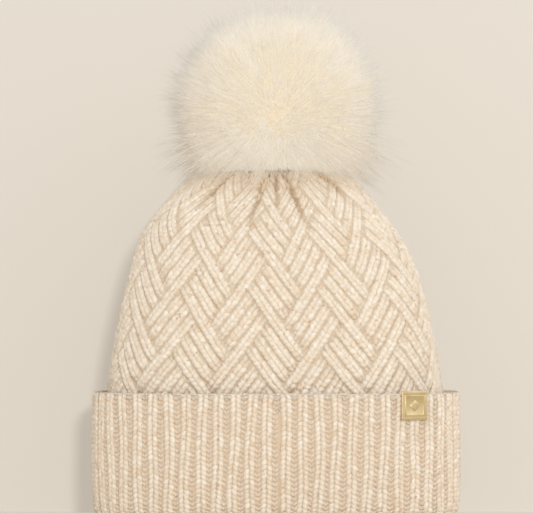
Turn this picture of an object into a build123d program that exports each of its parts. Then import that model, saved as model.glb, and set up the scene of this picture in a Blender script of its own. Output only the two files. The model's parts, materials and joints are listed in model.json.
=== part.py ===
"""Pom pom beanie: a knitted cap with a turned-up rib cuff, a press-on fur pom and a small metal tag.

Millimetres. The hat stands on the fold of its cuff, opening down. +Z is up through the crown,
the front looks along -Y, and the origin is the middle of the brim on the surface it stands on.
"""

import os
from math import atan2, copysign, cos, degrees, pi, sin

from build123d import *

# ---- driving dimensions ----

SQUARENESS = 3.2          # exponent of the hat's squared oval section
OVAL_POINTS = 24          # points that carry each oval

CUFF_HALF_WIDTH = 112.5
CUFF_HALF_DEPTH = 70.5
CUFF_HEIGHT = 78.0
CUFF_LAYER = 6.0          # thickness of the cuff's outer layer
BRIM_THICKNESS = 12.0     # both layers where they meet in the fold
FOLD_HEIGHT = 7.0         # solid knit below the gap between the layers
KNIT_WALL = 5.0
KNIT_START = 66.0         # height where the rib inside the cuff turns into the patterned knit

# height, half width and half depth of the patterned knit's outside
CAP_OUTLINE = (
    (66.0, 103.0, 61.0),
    (84.0, 102.0, 61.5),
    (109.0, 98.0, 60.5),
    (133.0, 93.0, 59.0),
    (158.0, 85.5, 56.0),
    (176.0, 77.0, 52.5),
    (192.0, 65.5, 46.5),
    (204.0, 54.5, 40.5),
    (210.0, 46.0, 35.0),
    (212.0, 38.0, 30.0),
)
CROWN_CEILING = 199.0     # underside of the knit in the middle of the crown
CEILING_HALF = (52.0, 35.0)
DISH_FLOOR = 204.0        # the gathered crown dips to here
DISH_RADII = (10.0, 34.0)

LINING_GAP = 0.5
LINING_THICKNESS = 2.0
LINING_HEM = 14.0         # height of the lining's lower edge
LINING_TOP = 195.4
SEAM_GAP = 0.3            # between two lining gores
HEM_STITCHES = 44
STITCH_LENGTH = 3.2
THREAD = 0.7

GATHER_RADIUS = 12.5
YARN_RADIUS = 1.3
SEAM_WIDTH = 2.6
SEAM_HEIGHT = 0.9

PATCH_RADIUS = 18.0
PATCH_THICKNESS = 2.0
RIVET_RADIUS = 6.5
RIVET_CAP = 1.2
RIVET_POST = 1.6
POST_CLEARANCE = 0.08
SOCKET_RADIUS = 6.2
SOCKET_HEIGHT = 3.6
SOCKET_BASE = 1.2
SOCKET_BORE = 3.3
STUD_HEAD = 2.2
STUD_NECK = 1.7
STUD_FLANGE = 5.5
STUD_GAP = 0.2            # height of the stud's head over the clenched rivet
SPRING_WIRE = 0.3

POM_RADIUS = 62.0
POM_CENTRE = 263.0
POM_FLOOR = 213.1         # flattened underside of the fur
CORE_RADIUS = 26.0
CORE_CENTRE = 242.0
DISC_RADIUS = 17.0
DISC_THICKNESS = 2.0
DISC_FLOOR = 209.5
NECK_RADII = (6.0, 15.0)  # ring where the fur is drawn in over the disc

TAG_X = 83.0
TAG_Z = 70.2
TAG_WIDTH = 17.0
TAG_HEIGHT = 17.7
TAG_THICKNESS = 1.1
TAG_CORNER = 1.2
TAG_STANDOFF = 0.15       # between the plate's back and the crests of the ribs
FRAME_SIZE = (12.6, 10.8)
FRAME_RAISE = 0.4
PRONG = (0.6, 2.4)
PRONG_SPREAD = 9.0
PRONG_LENGTH = 8.6
BACKING_SIZE = 12.0
BACKING_THICKNESS = 0.8
BACKING_DEPTH = 7.2       # behind the cuff's face

LABEL_WIDTH = 36.0
LABEL_HEIGHT = 14.0
LABEL_FLOOR = 70.0
LABEL_THICKNESS = 0.5
CARE_WIDTH = 22.0
CARE_LENGTH = 34.0
CARE_HINGE_Z = 62.0
CARE_HINGE_Y = 53.1


# ---- shapes that several pieces share ----

def oval_edge(half_width, half_depth, z):
    """A squared oval, |x/a|^n + |y/b|^n = 1, lying level at height z."""
    points = []
    for step in range(OVAL_POINTS):
        turn = 2 * pi * step / OVAL_POINTS
        x = copysign(half_width * abs(cos(turn)) ** (2 / SQUARENESS), cos(turn))
        y = copysign(half_depth * abs(sin(turn)) ** (2 / SQUARENESS), sin(turn))
        points.append((x, y, z))
    return Wire(Spline(points, periodic=True))


def hull(outline, grow=0.0):
    """A closed solid through level ovals, each row being height, half width and half depth."""
    return Solid.make_loft([oval_edge(a + grow, b + grow, z) for z, a, b in outline], True)


def front_y(half_width, half_depth, x):
    """Where a squared oval's front lies at x."""
    return -half_depth * (1 - (x / half_width) ** SQUARENESS) ** (1 / SQUARENESS)


def upright(radius, bottom, top, x=0.0, y=0.0):
    """A vertical cylinder between two heights."""
    return Pos(x, y, (bottom + top) / 2) * Cylinder(radius, top - bottom)


def slab(low, high):
    """A box between two opposite corners."""
    size = [b - a for a, b in zip(low, high)]
    middle = [(a + b) / 2 for a, b in zip(low, high)]
    return Pos(*middle) * Box(*size)


def bore_outline():
    """The inside of the knit from the brim to the crown's ceiling."""
    rows = [(3.0, CUFF_HALF_WIDTH - BRIM_THICKNESS, CUFF_HALF_DEPTH - BRIM_THICKNESS)]
    rows += [(z, a - KNIT_WALL, b - KNIT_WALL) for z, a, b in CAP_OUTLINE if z < CROWN_CEILING]
    return rows


def lining_outline(gap, top):
    """The bore drawn in by a gap, from the lining's hem to a flat top."""
    rows = bore_outline()
    (z0, a0, b0), (z1, a1, b1) = rows[0], rows[1]
    part = (LINING_HEM - z0) / (z1 - z0)
    hem = (LINING_HEM, a0 + (a1 - a0) * part, b0 + (b1 - b0) * part)
    rows = [hem] + rows[1:] + [(top, CEILING_HALF[0] + 4.0, CEILING_HALF[1] + 3.0)]
    return [(z, a - gap, b - gap) for z, a, b in rows]


# ---- knit ----

def cap_solid(grow=0.0):
    return hull(CAP_OUTLINE, grow=grow)


def knit_crown():
    """The patterned cap: a wall of even thickness, gathered into a dish at the top."""
    inside = hull(bore_outline()[1:] + [(CROWN_CEILING,) + CEILING_HALF])
    dish_height = CAP_OUTLINE[-1][0] - DISH_FLOOR
    rim_spread = (DISH_RADII[1] - DISH_RADII[0]) / dish_height
    over = 1.0
    dish = Cone(DISH_RADII[0], DISH_RADII[1] + over * rim_spread, dish_height + over)
    dish = Pos(0, 0, DISH_FLOOR + (dish_height + over) / 2) * dish
    hole = upright(RIVET_POST + POST_CLEARANCE, CROWN_CEILING - 1, DISH_FLOOR + 1)
    return cap_solid() - inside - dish - hole


def ribbed_cuff():
    """One rib tube folded up at the brim: outer layer, fold and inner layer."""
    a, b = CUFF_HALF_WIDTH, CUFF_HALF_DEPTH
    outside = hull(
        (
            (0.0, a - 4.0, b - 4.0),
            (2.0, a - 1.5, b - 1.5),
            (6.0, a, b),
            (CUFF_HEIGHT - 3.0, a, b),
            (CUFF_HEIGHT, a - 1.2, b - 1.2),
        )
    )
    (low_z, low_a, low_b), (join_z, join_a, join_b) = bore_outline()[:2]
    bore = hull(
        (
            (-0.1, low_a + 3.0, low_b + 3.0),
            (low_z, low_a, low_b),
            (join_z + 0.1, join_a, join_b),
        )
    )
    slot_outer = hull(
        (
            (FOLD_HEIGHT, a - CUFF_LAYER, b - CUFF_LAYER),
            (CUFF_HEIGHT + 1.0, a - CUFF_LAYER, b - CUFF_LAYER),
        )
    )
    slot_inner = hull(
        (
            (FOLD_HEIGHT - 1.0, a - CUFF_LAYER - 1.0, b - CUFF_LAYER - 1.0),
            (KNIT_START, CAP_OUTLINE[0][1], CAP_OUTLINE[0][2]),
        )
    )
    return outside - bore - (slot_outer - slot_inner)


def crown_gather_yarn():
    """The ring of yarn that draws the last stitches together, lying in the dish."""
    slope = (CAP_OUTLINE[-1][0] - DISH_FLOOR) / (DISH_RADII[1] - DISH_RADII[0])
    seat = DISH_FLOOR + (GATHER_RADIUS - DISH_RADII[0]) * slope
    return Pos(0, 0, seat + YARN_RADIUS * 1.1) * Torus(GATHER_RADIUS, YARN_RADIUS)


def back_seam_yarn():
    """The ridge of the seam that closes the knit up the middle of the back."""
    skin = cap_solid(SEAM_HEIGHT) - cap_solid()
    half = SEAM_WIDTH / 2
    return skin & slab((-half, 20, CUFF_HEIGHT + 2), (half, 90, 206))


def cuff_tack_stitches():
    """Pairs of yarn stitches between cap and cuff, at both sides and at the back seam."""
    reach = 3.2
    side = CUFF_HALF_WIDTH - CUFF_LAYER - reach / 2 - 0.1
    back = CUFF_HALF_DEPTH - CUFF_LAYER - reach / 2 - 0.1
    stitches = []
    for z in (69.5, 73.0):
        for x in (-side, side):
            stitches.append(Pos(x, 0, z) * Rot(0, 90, 0) * Cylinder(0.8, reach))
        stitches.append(Pos(0, back, z) * Rot(90, 0, 0) * Cylinder(0.8, reach))
    return Compound(children=stitches)


# ---- lining and labels ----

def lining_shell():
    outer = hull(lining_outline(LINING_GAP, LINING_TOP))
    inner_gap = LINING_GAP + LINING_THICKNESS
    inner = hull(lining_outline(inner_gap, LINING_TOP - LINING_THICKNESS))
    foot = hull(
        [(LINING_HEM - 1.0,) + lining_outline(inner_gap, LINING_TOP)[0][1:]]
        + [(LINING_HEM + 0.1,) + lining_outline(inner_gap, LINING_TOP)[0][1:]]
    )
    return outer - inner - foot


def lining_gore(shell, x_side, y_side):
    """One quarter of the fleece lining, cut a seam's width from its neighbours."""
    x_low, x_high = sorted((x_side * SEAM_GAP / 2, x_side * 130))
    y_low, y_high = sorted((y_side * SEAM_GAP / 2, y_side * 130))
    return shell & slab((x_low, y_low, 0), (x_high, y_high, 230))


def lining_hem_stitches():
    """Short tacks round the lining's lower edge."""
    _, a, b = lining_outline(LINING_GAP + LINING_THICKNESS + THREAD * 1.6, LINING_TOP)[0]
    stitches = []
    for step in range(HEM_STITCHES):
        turn = 2 * pi * (step + 0.5) / HEM_STITCHES
        x = copysign(a * abs(cos(turn)) ** (2 / SQUARENESS), cos(turn))
        y = copysign(b * abs(sin(turn)) ** (2 / SQUARENESS), sin(turn))
        across = (abs(x) / a) ** (SQUARENESS - 1) / a * copysign(1, x)
        along = (abs(y) / b) ** (SQUARENESS - 1) / b * copysign(1, y)
        heading = degrees(atan2(along, across)) + 90
        place = Pos(x, y, LINING_HEM + 4.0) * Rot(0, 0, heading)
        stitches.append(place * Box(STITCH_LENGTH, THREAD, THREAD))
    return Compound(children=stitches)


def label_back():
    """Depth of the lining's face behind the labels."""
    return CAP_OUTLINE[0][2] - KNIT_WALL - LINING_GAP - LINING_THICKNESS


def woven_label():
    """A blank woven label sewn flat inside the back."""
    half = LABEL_WIDTH / 2
    face = label_back()
    return slab(
        (-half, face - LABEL_THICKNESS, LABEL_FLOOR),
        (half, face, LABEL_FLOOR + LABEL_HEIGHT),
    )


def label_stitches():
    """Three tacks up each end of the woven label."""
    face = label_back() - LABEL_THICKNESS
    stitches = []
    for side in (-1, 1):
        for step in range(3):
            x = side * (LABEL_WIDTH / 2 - 1.5)
            z = LABEL_FLOOR + LABEL_HEIGHT * (step + 0.5) / 3
            stitches.append(Pos(x, face - 0.15, z) * Box(0.5, 0.3, 3.0))
    return Compound(children=stitches)


def care_label():
    """A blank satin label that hangs from its sewn top edge."""
    half = CARE_WIDTH / 2
    return slab(
        (-half, CARE_HINGE_Y - LABEL_THICKNESS / 2, CARE_HINGE_Z - CARE_LENGTH),
        (half, CARE_HINGE_Y + LABEL_THICKNESS / 2, CARE_HINGE_Z),
    )


# ---- metal tag ----

def tag_plane():
    """The plane of the cuff's face at the tag, looking outwards."""
    y = front_y(CUFF_HALF_WIDTH, CUFF_HALF_DEPTH, TAG_X)
    across = (TAG_X / CUFF_HALF_WIDTH) ** (SQUARENESS - 1) / CUFF_HALF_WIDTH
    along = (-y / CUFF_HALF_DEPTH) ** (SQUARENESS - 1) / CUFF_HALF_DEPTH
    face = Plane(origin=(TAG_X, y, TAG_Z), x_dir=(along, across, 0), z_dir=(across, -along, 0))
    return face.offset(TAG_STANDOFF)


def tag_prong(side, slack=0.0):
    """One leg of the tag, from the plate back through the cuff's outer layer."""
    size = (PRONG[0] + 2 * slack, PRONG[1] + 2 * slack, PRONG_LENGTH)
    return tag_plane() * Pos(side * PRONG_SPREAD / 2, 0, -PRONG_LENGTH / 2) * Box(*size)


def tag_plate():
    """The gold plate with its raised square frame, a plain diamond in it, and two legs."""
    plate = extrude(RectangleRounded(TAG_WIDTH, TAG_HEIGHT, TAG_CORNER), TAG_THICKNESS)
    outer, inner = FRAME_SIZE
    frame = extrude(Rectangle(outer, outer) - Rectangle(inner, inner), FRAME_RAISE)
    diamond = extrude(Rot(0, 0, 45) * Rectangle(inner * 0.45, inner * 0.45), FRAME_RAISE)
    plate += Pos(0, 0, TAG_THICKNESS) * frame + Pos(0, 0, TAG_THICKNESS) * diamond
    tag = tag_plane() * plate
    for side in (-1, 1):
        tag += tag_prong(side)
    return tag


def tag_backing_plate():
    """The plate in the cuff that the legs pass through and are clenched over."""
    place = tag_plane() * Pos(0, 0, -BACKING_DEPTH - BACKING_THICKNESS / 2)
    plate = place * Box(BACKING_SIZE, BACKING_SIZE, BACKING_THICKNESS)
    for side in (-1, 1):
        plate -= tag_prong(side, 0.05)
    return plate


# ---- press stud ----

def crown_patch():
    """Felt disc between knit and lining that the socket is riveted through."""
    disc = upright(PATCH_RADIUS, CROWN_CEILING - PATCH_THICKNESS, CROWN_CEILING)
    return disc - upright(RIVET_POST + POST_CLEARANCE, CROWN_CEILING - 5, CROWN_CEILING + 1)


def socket_rivet_cap():
    """Cap under the patch, with the post that comes up into the socket and is clenched."""
    top = CROWN_CEILING - PATCH_THICKNESS
    cap = upright(RIVET_RADIUS, top - RIVET_CAP, top)
    post = upright(RIVET_POST, top, DISH_FLOOR + SOCKET_BASE)
    clench = upright(
        RIVET_POST + 0.6, DISH_FLOOR + SOCKET_BASE, DISH_FLOOR + SOCKET_BASE + 0.4
    )
    return cap + post + clench


def snap_socket():
    """The hat's half of the press stud: a cup with a rolled lip, open at the top."""
    cup = upright(SOCKET_RADIUS, DISH_FLOOR, DISH_FLOOR + SOCKET_HEIGHT)
    cup -= upright(SOCKET_BORE, DISH_FLOOR + SOCKET_BASE, DISH_FLOOR + SOCKET_HEIGHT + 1)
    cup -= upright(RIVET_POST, DISH_FLOOR - 1, DISH_FLOOR + SOCKET_BASE + 1)
    rim = cup.edges().filter_by(GeomType.CIRCLE).sort_by(Axis.Z)[-2:]
    return fillet(rim, 0.5)


def snap_spring():
    """Two wire legs in the socket, as far apart as the stud's head spreads them."""
    x = STUD_HEAD + 0.1 + SPRING_WIRE
    z = DISH_FLOOR + SOCKET_HEIGHT - 1.2
    leg = Rot(90, 0, 0) * Cylinder(SPRING_WIRE, 2.6)
    return Compound(children=[Pos(side * x, 0, z) * leg for side in (-1, 1)])


def stud_heights():
    """Underside of the head, top of the head, underside and top of the flange."""
    head_low = DISH_FLOOR + SOCKET_BASE + 0.4 + STUD_GAP
    flange_low = DISH_FLOOR + SOCKET_HEIGHT + 0.6
    return head_low, head_low + 1.4, flange_low, flange_low + 1.0


def snap_stud():
    """The pom's half of the press stud: a flange with a round-headed knob below it."""
    head_low, head_top, flange_low, flange_top = stud_heights()
    head = upright(STUD_HEAD, head_low, head_top)
    head = fillet(head.edges().filter_by(GeomType.CIRCLE).sort_by(Axis.Z)[0], 0.6)
    neck = upright(STUD_NECK, head_top, flange_low)
    flange = upright(STUD_FLANGE, flange_low, flange_top)
    return head + neck + flange


def stud_rivet_cap():
    """Cap over the pom's disc, with a post down to the stud's flange."""
    cap_low = DISC_FLOOR + DISC_THICKNESS + 0.3
    cap = upright(STUD_FLANGE - 0.5, cap_low, cap_low + 1.0)
    return cap + upright(RIVET_POST - 0.1, stud_heights()[3], cap_low)


# ---- pom ----

def pom_base_disc():
    disc = upright(DISC_RADIUS, DISC_FLOOR, DISC_FLOOR + DISC_THICKNESS)
    return disc - upright(RIVET_POST - 0.1 + POST_CLEARANCE, DISC_FLOOR - 1, POM_FLOOR)


def pom_gather_thread():
    """The drawn-up thread round the neck of the fur."""
    thread = 0.6
    disc_top = DISC_FLOOR + DISC_THICKNESS
    return Pos(0, 0, disc_top + thread + 0.1) * Torus(NECK_RADII[1] + thread + 0.05, thread)


def pom_stuffing():
    return Pos(0, 0, CORE_CENTRE) * Sphere(CORE_RADIUS)


def pom_fur():
    """The ball of long pile, flattened below, hollow round the stuffing."""
    ball = Pos(0, 0, POM_CENTRE) * Sphere(POM_RADIUS)
    ball -= slab((-90, -90, 150), (90, 90, POM_FLOOR))
    neck = upright(NECK_RADII[1], DISC_FLOOR + DISC_THICKNESS, POM_FLOOR + 1)
    neck -= upright(NECK_RADII[0], DISC_FLOOR, POM_FLOOR)
    return ball + neck - Pos(0, 0, CORE_CENTRE) * Sphere(CORE_RADIUS + 0.2)


# ---- write every piece ----

def pieces():
    shell = lining_shell()
    return {
        "knit_crown": knit_crown(),
        "ribbed_cuff": ribbed_cuff(),
        "crown_gather_yarn": crown_gather_yarn(),
        "back_seam_yarn": back_seam_yarn(),
        "cuff_tack_stitches": cuff_tack_stitches(),
        "lining_gore_front_left": lining_gore(shell, -1, -1),
        "lining_gore_front_right": lining_gore(shell, 1, -1),
        "lining_gore_back_left": lining_gore(shell, -1, 1),
        "lining_gore_back_right": lining_gore(shell, 1, 1),
        "lining_hem_stitches": lining_hem_stitches(),
        "woven_label": woven_label(),
        "label_stitches": label_stitches(),
        "care_label": care_label(),
        "tag_plate": tag_plate(),
        "tag_backing_plate": tag_backing_plate(),
        "crown_patch": crown_patch(),
        "socket_rivet_cap": socket_rivet_cap(),
        "snap_socket": snap_socket(),
        "snap_spring": snap_spring(),
        "snap_stud": snap_stud(),
        "stud_rivet_cap": stud_rivet_cap(),
        "pom_base_disc": pom_base_disc(),
        "pom_gather_thread": pom_gather_thread(),
        "pom_stuffing": pom_stuffing(),
        "pom_fur": pom_fur(),
    }


os.makedirs("parts", exist_ok=True)
for node, shape in pieces().items():
    export_step(shape, f"parts/{node}.step")
    print(f"{node}: {shape.volume:.1f} mm3")
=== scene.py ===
"""Looks of the pom pom beanie: chunky knit, faux fur pom, metal tag, fleece lining and labels."""

import json
from math import cos, pi, radians, sin, tau

import bpy
import numpy as np
from mathutils import Matrix, Vector

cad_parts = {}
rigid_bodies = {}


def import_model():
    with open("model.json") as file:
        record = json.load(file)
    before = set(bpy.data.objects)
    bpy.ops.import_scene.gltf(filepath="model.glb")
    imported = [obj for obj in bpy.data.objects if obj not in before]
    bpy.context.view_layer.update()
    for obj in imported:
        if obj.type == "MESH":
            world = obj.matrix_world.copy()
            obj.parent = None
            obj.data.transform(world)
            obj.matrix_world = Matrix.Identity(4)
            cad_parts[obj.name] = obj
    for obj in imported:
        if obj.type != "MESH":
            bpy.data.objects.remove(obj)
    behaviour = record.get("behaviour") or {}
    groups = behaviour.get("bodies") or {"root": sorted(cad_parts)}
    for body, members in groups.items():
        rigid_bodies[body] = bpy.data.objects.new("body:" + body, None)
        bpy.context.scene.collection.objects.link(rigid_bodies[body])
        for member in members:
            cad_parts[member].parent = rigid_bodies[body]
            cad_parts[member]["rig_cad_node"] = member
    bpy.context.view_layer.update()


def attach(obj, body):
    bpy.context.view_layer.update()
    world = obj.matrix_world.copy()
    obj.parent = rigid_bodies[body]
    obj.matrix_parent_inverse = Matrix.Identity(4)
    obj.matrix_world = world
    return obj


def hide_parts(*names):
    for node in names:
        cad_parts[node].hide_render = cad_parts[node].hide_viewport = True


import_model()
rng = np.random.default_rng(11)
MM = 0.001

# ---- driving sizes of the hat, mm ----

SQUARENESS = 3.2          # of the hat's oval plan, where 2 would be an ellipse
CUFF_WIDTH = 112.5        # half of the cuff's width
DEPTH_STEP = 42.0         # half width less half depth, all over the cuff
CUFF_TOP = 78.0
KNIT_START = 66.0         # where the patterned knit begins, inside the cuff
CORNERS = ("front_right", "back_right", "back_left", "front_left")
# height, half width and half depth of the patterned knit at the crests of its cords
CAP_ROWS = (
    (66.0, 103.0, 61.0),
    (84.0, 102.0, 61.5),
    (109.0, 98.0, 60.5),
    (133.0, 93.0, 59.0),
    (158.0, 85.5, 56.0),
    (176.0, 77.0, 52.5),
    (192.0, 65.5, 46.5),
    (204.0, 54.0, 40.5),
    (210.0, 45.0, 35.0),
    (212.0, 37.0, 30.0),
    (210.6, 30.0, 25.0),
    (207.4, 21.0, 18.5),
    (205.2, 13.0, 12.0),
    (204.6, 8.0, 7.5),
    (204.5, 3.4, 3.3),
)
# the same for the cuff: from inside its top edge, over it, down the face and up inside the brim
CUFF_ROWS = (
    (74.5, 108.4, 66.4),
    (77.4, 109.2, 67.2),
    (78.0, 110.6, 68.6),
    (76.6, 112.0, 70.0),
    (70.0, 112.5, 70.5),
    (40.0, 112.9, 70.9),
    (12.0, 112.4, 70.4),
    (4.6, 111.2, 69.2),
    (1.2, 108.4, 66.4),
    (0.5, 105.6, 63.6),
    (2.4, 102.6, 60.6),
    (8.0, 100.9, 58.9),
    (24.0, 99.6, 57.6),
)
# how far the soft cap leans to one side, by height
LEAN = ((66, 0), (84, -1.2), (133, -1.0), (158, -2.0), (172, -3.6), (184, -4.4), (196, -3.2), (212, -1.5))
RIB_COLUMNS = 62
RIB_ROW = 2.9             # height of one stitch of the rib
REPEATS = 12              # of the lattice round the cap
LATTICE_RISE = 6.4        # height of one lattice unit
CORD_ROW = 3.1            # stitch pitch along a cord


# ---- curves and walls ----

def length_along(line):
    """How far along a line each of its points lies."""
    return np.concatenate([[0], np.cumsum(np.linalg.norm(np.diff(line, axis=0), axis=1))])


def smooth_rows(rows, steps=24):
    """A Catmull-Rom curve through rows, and its length in the plane of its first two columns."""
    rows = np.array(rows, float)
    padded = np.vstack([2 * rows[0] - rows[1], rows, 2 * rows[-1] - rows[-2]])
    out = []
    for i in range(1, len(padded) - 2):
        a, b, c, d = padded[i - 1 : i + 3]
        for u in np.arange(steps) / steps:
            bend = (2 * a - 5 * b + 4 * c - d) * u**2 + (3 * b - a - 3 * c + d) * u**3
            out.append(0.5 * (2 * b + (c - a) * u + bend))
    out.append(padded[-2])
    out = np.array(out)
    return length_along(out[:, :2]), out


class Wall:
    """A knitted wall: s runs round the hat from the middle of the front, t along the rows."""

    def __init__(self, rows, side, leaning=False):
        self.length, self.rows = smooth_rows(rows)
        self.total = self.length[-1]
        self.side = side
        self.leaning = leaning
        widest = self.rows[np.argmax(self.rows[:, 1])]
        turn = np.linspace(-pi / 2, 1.5 * pi, 1441)
        c, s = np.cos(turn), np.sin(turn)
        self.ring_x = np.sign(c) * np.abs(c) ** (2 / SQUARENESS)
        self.ring_y = np.sign(s) * np.abs(s) ** (2 / SQUARENESS)
        steps = np.hypot(np.diff(self.ring_x) * widest[1], np.diff(self.ring_y) * widest[2])
        self.ring_s = np.concatenate([[0], np.cumsum(steps)])
        self.round = self.ring_s[-1]

    def flat(self, s, t):
        """The wall's points with no relief."""
        z, a, b = (np.interp(t, self.length, self.rows[:, k]) for k in range(3))
        s = np.mod(s, self.round)
        x = a * np.interp(s, self.ring_s, self.ring_x)
        y = b * np.interp(s, self.ring_s, self.ring_y)
        if self.leaning:
            x = x + np.interp(z, *np.array(LEAN, float).T)
        return np.stack([x, y, z], -1)

    def normal(self, s, t):
        """The way off the wall's knitted face, which its side chooses."""
        across = self.flat(s + 0.8, t) - self.flat(s - 0.8, t)
        along = self.flat(s, t + 0.4) - self.flat(s, t - 0.4)
        n = np.cross(across, along) * self.side
        return n / np.maximum(np.linalg.norm(n, axis=-1, keepdims=True), 1e-9)

    def at(self, s, t, h):
        """Points at height h over the wall."""
        t = np.clip(t, 0.4, self.total - 0.4)
        return self.flat(s, t) + self.normal(s, t) * np.asarray(h)[..., None]

    def t_at(self, z):
        """The first t where the wall reaches a height."""
        return float(self.length[np.argmax(self.rows[:, 0] >= z)])


# ---- meshes from arrays ----

def new_piece(name, points, loops, sizes, uv=None, values=None):
    """A smooth mesh object from points in mm and its faces' corners."""
    mesh = bpy.data.meshes.new(name)
    mesh.vertices.add(len(points))
    mesh.vertices.foreach_set("co", (np.asarray(points, np.float32) * MM).ravel())
    mesh.loops.add(len(loops))
    mesh.loops.foreach_set("vertex_index", np.asarray(loops, np.int32))
    mesh.polygons.add(len(sizes))
    starts = np.concatenate([[0], np.cumsum(sizes)[:-1]])
    mesh.polygons.foreach_set("loop_start", np.asarray(starts, np.int32))
    mesh.update(calc_edges=True)
    if uv is not None:
        layer = mesh.uv_layers.new(name="yarn")
        layer.uv.foreach_set("vector", np.asarray(uv, np.float32).ravel())
    for key, figures in (values or {}).items():
        layer = mesh.attributes.new(key, "FLOAT", "POINT")
        layer.data.foreach_set("value", np.asarray(figures, np.float32))
    mesh.polygons.foreach_set("use_smooth", np.full(len(sizes), True))
    mesh.validate()
    ob = bpy.data.objects.new(name, mesh)
    bpy.context.scene.collection.objects.link(ob)
    return ob


def deselect_all():
    """Leaves no object selected."""
    bpy.ops.object.select_all(action="DESELECT")


def pick(ob):
    """Makes an object the only one selected, and the active one."""
    deselect_all()
    bpy.context.view_layer.objects.active = ob
    ob.select_set(True)


def outward_faces(ob):
    """Recalculates a closed mesh's normals to point out."""
    pick(ob)
    bpy.ops.object.mode_set(mode="EDIT")
    bpy.ops.mesh.select_all(action="SELECT")
    bpy.ops.mesh.normals_make_consistent(inside=False)
    bpy.ops.object.mode_set(mode="OBJECT")
    ob.select_set(False)


def round_ball(name, shape):
    """A smooth closed ball, whose points on a unit sphere go where shape puts them, in mm."""
    deselect_all()
    bpy.ops.mesh.primitive_ico_sphere_add(subdivisions=5, radius=1.0)
    ob = bpy.context.object
    ob.name = ob.data.name = name
    points = np.array([v.co[:] for v in ob.data.vertices])
    ob.data.vertices.foreach_set("co", (shape(points) * MM).astype(np.float32).ravel())
    bpy.ops.object.shade_smooth()
    return ob


def plump_grain(segments, rings):
    """One leg of a stitch, modelled once: its points, corners, face sizes and UVs."""
    deselect_all()
    bpy.ops.mesh.primitive_uv_sphere_add(segments=segments, ring_count=rings, radius=1.0)
    ob = bpy.context.object
    mesh = ob.data
    points = np.array([v.co[:] for v in mesh.vertices])
    loops = np.array([corner.vertex_index for corner in mesh.loops])
    sizes = np.array([p.loop_total for p in mesh.polygons])
    uv = np.array([d.vector[:] for d in mesh.uv_layers[0].uv])
    bpy.data.objects.remove(ob)
    bpy.data.meshes.remove(mesh)
    return points, loops, sizes, uv


# ---- knitting ----

GRAIN = plump_grain(5, 6)


def knit_piece(name, placed, tone, depth):
    """A piece of knit: the grain copied to each row of placed points, with its tone and its painted shade,
    which the depth attribute carries.
    """
    points, loops, sizes, uv = GRAIN
    count = len(placed)
    all_loops = (loops[None, :] + len(points) * np.arange(count)[:, None]).ravel()
    values = {"tone": np.repeat(tone, len(points)), "depth": np.repeat(depth, len(points))}
    spots = placed.reshape(-1, 3)
    return new_piece(name, spots, all_loops, np.tile(sizes, count), np.tile(uv, (count, 1)), values)


def quarter_pieces(name, wall, legs):
    """Four pieces of knit, one to each quarter of the hat, from lists of placed points, tone, painted shade
    and s.
    """
    placed, tone, depth, place = (np.concatenate(part) for part in zip(*legs))
    quarter = (place % wall.round // (wall.round / 4)).astype(int) % 4
    pieces = []
    for number, corner in enumerate(CORNERS):
        mine = quarter == number
        pieces.append(knit_piece(f"{name}_{corner}", placed[mine], tone[mine], depth[mine]))
    return pieces


def column(value):
    """A value for each stitch, or one for them all, as a column."""
    return np.asarray(value)[..., None]


def lay_stitches(wall, centre_s, centre_t, heading, size, height, lean=0.0, dip=0.0, relief=None):
    """Copies the grain along a wall. Each stitch has a heading in the wall's plane, half sizes
    (across, thick, along), a height, a sideways lean from end to end and a dip of its ends."""
    p, q, w = (GRAIN[0][:, k][None] for k in range(3))
    across = column(size[0]) * p + column(lean) * w
    along = column(size[2]) * w
    h = column(height) + column(size[1]) * q - column(dip) * w**4
    c, s = column(np.cos(heading)), column(np.sin(heading))
    where_s = column(centre_s) + (along * c + across * s)
    where_t = column(centre_t) + (along * s - across * c)
    if relief is not None:
        h = h + relief(where_s, where_t)
    return wall.at(where_s, where_t, h)


def creased(s, t):
    """How deep in a crease of the crown a place lies, 0 to 1."""
    total = np.zeros(np.broadcast(s, t).shape)
    for place, width, share, reach, drift in CREASES:
        near = np.clip((t - (FOLD_FULL - reach)) / reach, 0, 1)
        centre = place + drift * (FOLD_FULL - t) / reach
        gap = (s - centre + CAP.round / 2) % CAP.round - CAP.round / 2
        total += share * near**0.6 * np.exp(-((gap / width) ** 2))
    return np.clip(total, 0, 1)


def cap_relief(s, t):
    """Soft waves of the worn knit, and the folds that run out from the gathered crown."""
    around = s / CAP.round * tau
    h = 0.5 * np.sin(3 * around + 1.3 + t * 0.03) + 0.4 * np.sin(5 * around - t * 0.05)
    top = np.clip((t - FOLD_START) / (FOLD_FULL - FOLD_START), 0, 1)
    h = h + top**2 * 0.9 * np.sin(17 * around + 0.8 * np.sin(2 * around))
    return h - CREASE_DEPTH * creased(s, t)


# cords of one lattice cell that rise to the right, and to the left: lane, start and end in lattice units
RISING = ((0.5, 0, 7), (-0.5, 0, 4), (-1.5, 0, 4))
FALLING = ((-0.5, -2, 5), (0.5, 1, 5), (1.5, 1, 5))
CELL_STEP = 5             # lattice units from a cell to its neighbour round the cap
CELL_RISE = 3             # and to the one above
BARE_CROWN = 12.0         # length at the gather that carries no cords


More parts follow.
